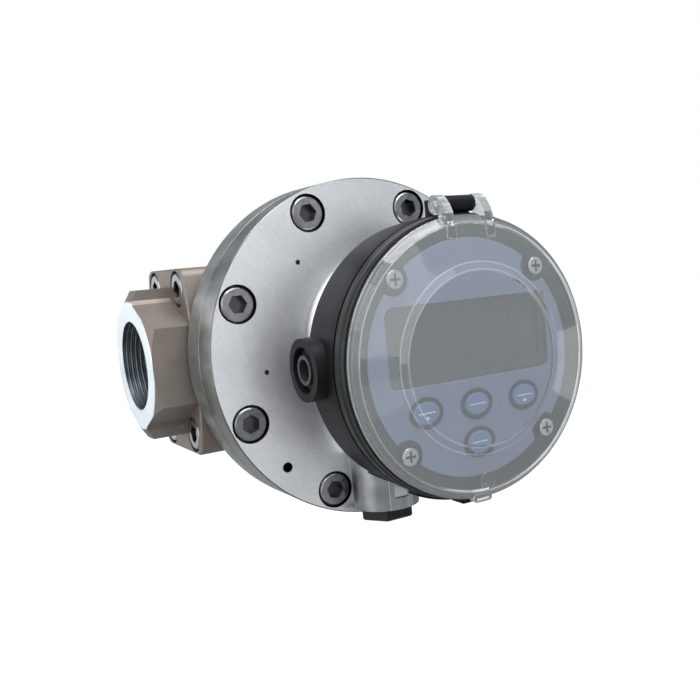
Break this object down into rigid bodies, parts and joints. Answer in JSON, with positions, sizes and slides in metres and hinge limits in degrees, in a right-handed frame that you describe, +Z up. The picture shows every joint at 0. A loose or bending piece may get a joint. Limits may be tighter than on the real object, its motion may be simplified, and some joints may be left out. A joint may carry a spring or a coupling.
{
  "type": "oval gear flow meter",
  "caption": "Oval gear flow meter: round bolted cover, bolted threaded pipe adaptors, geared rotors and a battery register under a hinged clear lid.",
  "frame": {"origin": "centre of the inlet port's mouth, on the port axis", "axes": "+X along the pipe from inlet to outlet, -Y from the body to the register's face, +Z up"},
  "size_m": [0.199, 0.1771, 0.166],
  "materials": {
    "cast_body": "bead-blasted casting, clear anodised",
    "cover_metal": "bead-blasted casting with turned rim",
    "adaptor_metal": "bead-blasted casting",
    "seal_rubber": "moulded elastomer",
    "screw_steel": "stainless, as rolled",
    "shaft_steel": "ground stainless",
    "rotor_plastic": "glass-filled PPS",
    "bush_carbon": "carbon ceramic",
    "washer_plastic": "filled PTFE",
    "magnet_nickel": "nickel plated",
    "board_green": "solder-masked laminate",
    "reed_glass": "sealed glass tube",
    "chip_black": "moulded epoxy",
    "plug_black": "moulded nylon",
    "housing_charcoal": "glass-filled nylon, satin",
    "gland_grey": "moulded nylon",
    "bezel_charcoal": "satin moulded plastic",
    "facia_blue": "printed facia, satin",
    "pane_clear": "clear acrylic",
    "display_grey": "liquid crystal module",
    "key_blue": "silicone keys",
    "rim_grey": "printed ring, raised",
    "cell_wrap": "shrink wrap",
    "terminal_green": "moulded nylon",
    "lid_clear": "clear polycarbonate"
  },
  "bodies": {
    "meter": {"meter_body": "cast_body", "meter_cover": "cover_metal", "cover_seal": "seal_rubber", "cover_screws": "screw_steel", "cover_dowels": "shaft_steel", "inlet_adaptor": "adaptor_metal", "outlet_adaptor": "adaptor_metal", "inlet_seal": "seal_rubber", "outlet_seal": "seal_rubber", "inlet_screws": "screw_steel", "outlet_screws": "screw_steel", "rotor_shaft_a": "shaft_steel", "rotor_shaft_b": "shaft_steel", "rotor_washers": "washer_plastic", "sensor_board": "board_green", "sensor_screw": "shaft_steel", "reed_switch": "reed_glass", "hall_sensors": "chip_black", "conduit_plug": "plug_black", "plug_seal": "seal_rubber", "register_housing": "housing_charcoal", "turret_gasket": "seal_rubber", "turret_screws": "shaft_steel", "entry_gland": "gland_grey", "bezel_gasket": "seal_rubber", "bezel": "bezel_charcoal", "lid_seal": "seal_rubber", "facia": "facia_blue", "facia_screws": "screw_steel", "display_pane": "pane_clear", "display_frame": "seal_rubber", "display_module": "display_grey", "circuit_board": "board_green", "board_screws": "shaft_steel", "key_rims": "rim_grey", "key_switches": "chip_black", "battery_cells": "cell_wrap", "battery_holder": "chip_black", "terminal_block": "terminal_green", "hinge_pin": "shaft_steel"},
    "rotor_a": {"rotor_a": "rotor_plastic", "rotor_a_bushes": "bush_carbon", "rotor_magnets": "magnet_nickel"},
    "rotor_b": {"rotor_b": "rotor_plastic", "rotor_b_bushes": "bush_carbon"},
    "lid": {"lid": "lid_clear"},
    "key_left": {"key_left": "key_blue"},
    "key_middle": {"key_middle": "key_blue"},
    "key_right": {"key_right": "key_blue"},
    "key_lower": {"key_lower": "key_blue"}
  },
  "joints": [
    {"name": "rotor_a_spin", "type": "hinge", "parent": "meter", "child": "rotor_a", "pos_m": [0.0995, 0, 0.022], "axis": [0, 1, 0], "continuous": true},
    {"name": "rotor_b_spin", "type": "hinge", "parent": "meter", "child": "rotor_b", "pos_m": [0.0995, 0, -0.022], "axis": [0, 1, 0], "continuous": true},
    {"name": "lid_hinge", "type": "hinge", "parent": "meter", "child": "lid", "pos_m": [0.117, -0.1255, 0.0645], "axis": [-1, 0, 0], "range_deg": [0, 115]},
    {"name": "key_left_press", "type": "slide", "parent": "meter", "child": "key_left", "axis": [0, 1, 0], "range_m": [0, 0.0008], "stiffness_N_per_m": 1000},
    {"name": "key_middle_press", "type": "slide", "parent": "meter", "child": "key_middle", "axis": [0, 1, 0], "range_m": [0, 0.0008], "stiffness_N_per_m": 1000},
    {"name": "key_right_press", "type": "slide", "parent": "meter", "child": "key_right", "axis": [0, 1, 0], "range_m": [0, 0.0008], "stiffness_N_per_m": 1000},
    {"name": "key_lower_press", "type": "slide", "parent": "meter", "child": "key_lower", "axis": [0, 1, 0], "range_m": [0, 0.0008], "stiffness_N_per_m": 1000}
  ],
  "couplings": [
    {"joint": "rotor_b_spin", "follows": "rotor_a_spin", "ratio": -1}
  ]
}
